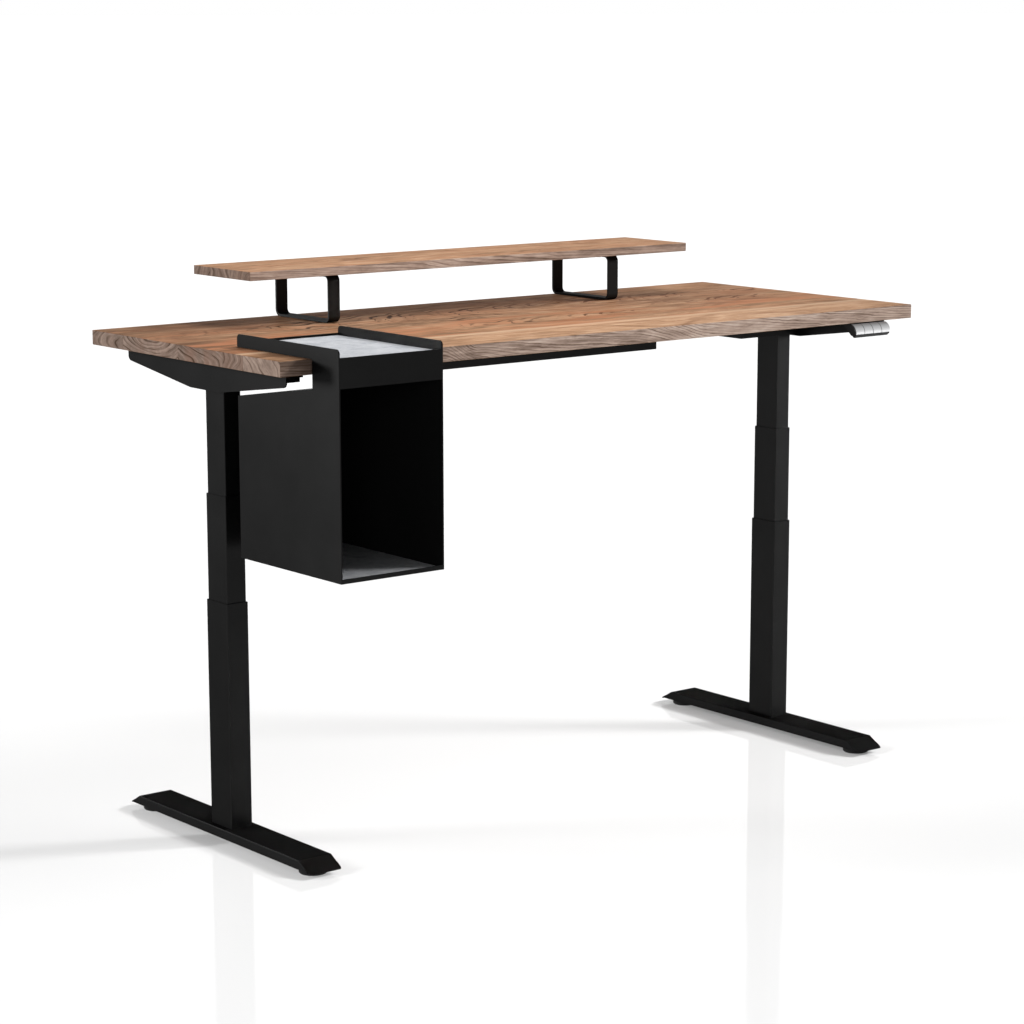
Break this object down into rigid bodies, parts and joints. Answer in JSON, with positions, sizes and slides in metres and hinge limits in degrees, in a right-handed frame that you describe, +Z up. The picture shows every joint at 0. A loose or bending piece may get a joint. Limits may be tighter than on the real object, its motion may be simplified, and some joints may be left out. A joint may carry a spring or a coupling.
{
  "type": "height-adjustable desk",
  "caption": "Wooden desktop on motorised three-stage lifting columns with bevelled feet, a raised shelf, a key handset and a black sheet-metal caddy hung on the front edge.",
  "frame": {"origin": "on the floor, under the middle of the desk's overall box", "axes": "+X to the user's right, +Y away from the user to the back, +Z up"},
  "size_m": [1.8, 0.841, 1.2195],
  "materials": {
    "black_steel": "fine matt powder coat",
    "top_wood": "oiled, strongly figured boards",
    "pad_rubber": "matt",
    "screw_steel": "machined",
    "nut_plastic": "moulded",
    "gear_alloy": "die cast",
    "motor_metal": "semi-gloss",
    "zinc_fasteners": "zinc plated",
    "black_plastic": "fine texture",
    "board_green": "circuit board",
    "silver_keys": "satin",
    "grey_felt": "pressed felt"
  },
  "bodies": {
    "base": {"left_foot": "black_steel", "right_foot": "black_steel", "left_outer_tube": "black_steel", "right_outer_tube": "black_steel", "foot_bolts": "zinc_fasteners", "foot_weld_nuts": "zinc_fasteners", "column_base_blocks": "zinc_fasteners", "outer_glides": "nut_plastic"},
    "middle": {"left_middle_tube": "black_steel", "right_middle_tube": "black_steel", "middle_nuts": "nut_plastic", "middle_glides": "nut_plastic"},
    "top": {"left_inner_tube": "black_steel", "right_inner_tube": "black_steel", "inner_nuts": "nut_plastic", "left_gearbox": "gear_alloy", "right_gearbox": "gear_alloy", "left_motor": "motor_metal", "right_motor": "motor_metal", "left_drive_housing": "black_steel", "right_drive_housing": "black_steel", "left_bracket": "black_steel", "right_bracket": "black_steel", "crossbeam_sleeve": "black_steel", "left_rail": "black_steel", "right_rail": "black_steel", "crossbeam_bolts": "zinc_fasteners", "desktop": "top_wood", "desktop_screws": "zinc_fasteners", "control_box": "black_plastic", "control_board": "board_green", "power_inlet": "black_plastic", "handset_housing": "black_plastic", "shelf_board": "top_wood", "left_shelf_loop": "black_steel", "right_shelf_loop": "black_steel", "shelf_screws": "zinc_fasteners", "shelf_pads": "pad_rubber"},
    "caddy": {"caddy_left_panel": "black_steel", "caddy_right_panel": "black_steel", "caddy_tray": "black_steel", "caddy_shell": "black_steel", "caddy_tray_mat": "grey_felt", "caddy_floor_mat": "grey_felt", "caddy_bumpers": "pad_rubber"},
    "front_left_leveller": {"front_left_leveller": "pad_rubber"},
    "front_right_leveller": {"front_right_leveller": "pad_rubber"},
    "rear_left_leveller": {"rear_left_leveller": "pad_rubber"},
    "rear_right_leveller": {"rear_right_leveller": "pad_rubber"},
    "key_up": {"key_up": "silver_keys"},
    "key_down": {"key_down": "silver_keys"},
    "key_memory_one": {"key_memory_one": "silver_keys"},
    "key_memory_two": {"key_memory_two": "silver_keys"},
    "left_lower_screw": {"left_lower_screw": "screw_steel"},
    "left_upper_screw": {"left_upper_screw": "screw_steel"},
    "left_drive_shaft": {"left_drive_shaft": "screw_steel"},
    "right_lower_screw": {"right_lower_screw": "screw_steel"},
    "right_upper_screw": {"right_upper_screw": "screw_steel"},
    "right_drive_shaft": {"right_drive_shaft": "screw_steel"}
  },
  "joints": [
    {"name": "lower_stage", "type": "slide", "parent": "base", "child": "middle", "axis": [0, 0, 1], "range_m": [-0.223, 0.102]},
    {"name": "upper_stage", "type": "slide", "parent": "middle", "child": "top", "axis": [0, 0, 1], "range_m": [-0.223, 0.102]},
    {"name": "caddy_slide", "type": "slide", "parent": "top", "child": "caddy", "axis": [1, 0, 0], "range_m": [-0.06, 1.2]},
    {"name": "front_left_leveller_turn", "type": "hinge", "parent": "base", "child": "front_left_leveller", "pos_m": [-0.8015, -0.2645, 0], "axis": [0, 0, 1], "continuous": true},
    {"name": "front_right_leveller_turn", "type": "hinge", "parent": "base", "child": "front_right_leveller", "pos_m": [0.8015, -0.2645, 0], "axis": [0, 0, 1], "continuous": true},
    {"name": "rear_left_leveller_turn", "type": "hinge", "parent": "base", "child": "rear_left_leveller", "pos_m": [-0.8015, 0.3615, 0], "axis": [0, 0, 1], "continuous": true},
    {"name": "rear_right_leveller_turn", "type": "hinge", "parent": "base", "child": "rear_right_leveller", "pos_m": [0.8015, 0.3615, 0], "axis": [0, 0, 1], "continuous": true},
    {"name": "key_up_press", "type": "slide", "parent": "top", "child": "key_up", "axis": [0, 0.8039, -0.5948], "range_m": [0, 0.0012], "stiffness_N_per_m": 900},
    {"name": "key_down_press", "type": "slide", "parent": "top", "child": "key_down", "axis": [0, 0.8039, -0.5948], "range_m": [0, 0.0012], "stiffness_N_per_m": 900},
    {"name": "key_memory_one_press", "type": "slide", "parent": "top", "child": "key_memory_one", "axis": [0, 0.8039, -0.5948], "range_m": [0, 0.0012], "stiffness_N_per_m": 900},
    {"name": "key_memory_two_press", "type": "slide", "parent": "top", "child": "key_memory_two", "axis": [0, 0.8039, -0.5948], "range_m": [0, 0.0012], "stiffness_N_per_m": 900},
    {"name": "left_lower_screw_turn", "type": "hinge", "parent": "base", "child": "left_lower_screw", "pos_m": [-0.8015, 0.0485, 0.5], "axis": [0, 0, 1], "range_deg": [-8100, 3700]},
    {"name": "left_upper_screw_turn", "type": "hinge", "parent": "middle", "child": "left_upper_screw", "pos_m": [-0.8015, 0.0485, 0.5], "axis": [0, 0, 1], "range_deg": [-8100, 3700]},
    {"name": "left_drive_shaft_turn", "type": "hinge", "parent": "top", "child": "left_drive_shaft", "pos_m": [-0.8015, 0.0485, 0.5], "axis": [0, 0, 1], "range_deg": [-8100, 3700]},
    {"name": "right_lower_screw_turn", "type": "hinge", "parent": "base", "child": "right_lower_screw", "pos_m": [0.8015, 0.0485, 0.5], "axis": [0, 0, 1], "range_deg": [-8100, 3700]},
    {"name": "right_upper_screw_turn", "type": "hinge", "parent": "middle", "child": "right_upper_screw", "pos_m": [0.8015, 0.0485, 0.5], "axis": [0, 0, 1], "range_deg": [-8100, 3700]},
    {"name": "right_drive_shaft_turn", "type": "hinge", "parent": "top", "child": "right_drive_shaft", "pos_m": [0.8015, 0.0485, 0.5], "axis": [0, 0, 1], "range_deg": [-8100, 3700]}
  ],
  "couplings": [
    {"joint": "upper_stage", "follows": "lower_stage", "ratio": 1},
    {"joint": "left_lower_screw_turn", "follows": "lower_stage", "rad_per_m": 628.32},
    {"joint": "left_upper_screw_turn", "follows": "lower_stage", "rad_per_m": 628.32},
    {"joint": "left_drive_shaft_turn", "follows": "lower_stage", "rad_per_m": 628.32},
    {"joint": "right_lower_screw_turn", "follows": "lower_stage", "rad_per_m": 628.32},
    {"joint": "right_upper_screw_turn", "follows": "lower_stage", "rad_per_m": 628.32},
    {"joint": "right_drive_shaft_turn", "follows": "lower_stage", "rad_per_m": 628.32}
  ]
}
